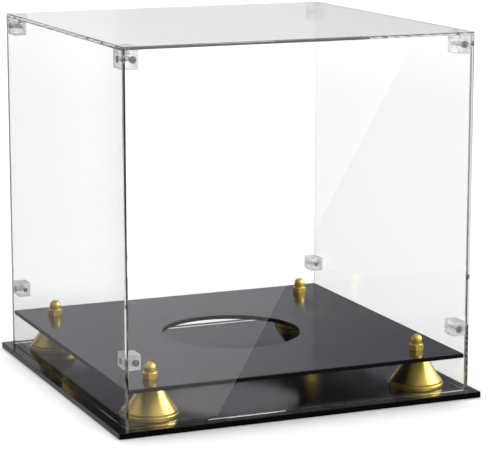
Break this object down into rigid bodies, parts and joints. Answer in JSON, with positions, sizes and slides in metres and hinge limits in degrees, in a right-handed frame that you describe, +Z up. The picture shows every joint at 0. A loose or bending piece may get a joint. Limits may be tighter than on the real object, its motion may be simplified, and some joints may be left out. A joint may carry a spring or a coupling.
{
  "type": "ball display case",
  "caption": "Ball display case: clear box cover that lifts off a black base, over a raised black platform with a round ball seat on conical gold risers.",
  "frame": {"origin": "centre of the base plate's underside, which is the face the case stands on", "axes": "+Z up, the way the cover lifts off; the front panel faces -Y and the right panel +X"},
  "size_m": [0.292, 0.292, 0.279],
  "materials": {
    "black_acrylic": "polished gloss black acrylic sheet",
    "clear_acrylic": "polished clear acrylic sheet",
    "clear_clip": "moulded clear plastic",
    "clear_pin": "moulded clear plastic",
    "gold_riser": "satin gold anodised, turned",
    "gold_nut": "satin brass",
    "zinc_screw": "zinc plated"
  },
  "bodies": {
    "base": {"base_plate": "black_acrylic", "platform": "black_acrylic", "riser_front_left": "gold_riser", "riser_front_right": "gold_riser", "riser_back_left": "gold_riser", "riser_back_right": "gold_riser", "cap_nut_front_left": "gold_nut", "cap_nut_front_right": "gold_nut", "cap_nut_back_left": "gold_nut", "cap_nut_back_right": "gold_nut", "riser_screw_front_left": "zinc_screw", "riser_screw_front_right": "zinc_screw", "riser_screw_back_left": "zinc_screw", "riser_screw_back_right": "zinc_screw"},
    "cover": {"front_panel": "clear_acrylic", "back_panel": "clear_acrylic", "left_panel": "clear_acrylic", "right_panel": "clear_acrylic", "top_panel": "clear_acrylic", "corner_clip_front_left": "clear_clip", "corner_clip_front_right": "clear_clip", "corner_clip_back_left": "clear_clip", "corner_clip_back_right": "clear_clip", "edge_clip_front_left": "clear_clip", "edge_clip_front_right": "clear_clip", "edge_clip_back_left": "clear_clip", "edge_clip_back_right": "clear_clip", "front_push_pins": "clear_pin", "back_push_pins": "clear_pin", "left_push_pins": "clear_pin", "right_push_pins": "clear_pin", "top_push_pins": "clear_pin"}
  },
  "joints": [
    {"name": "cover_lift", "type": "slide", "parent": "base", "child": "cover", "axis": [0, 0, 1], "range_m": [0, 0.3]}
  ]
}
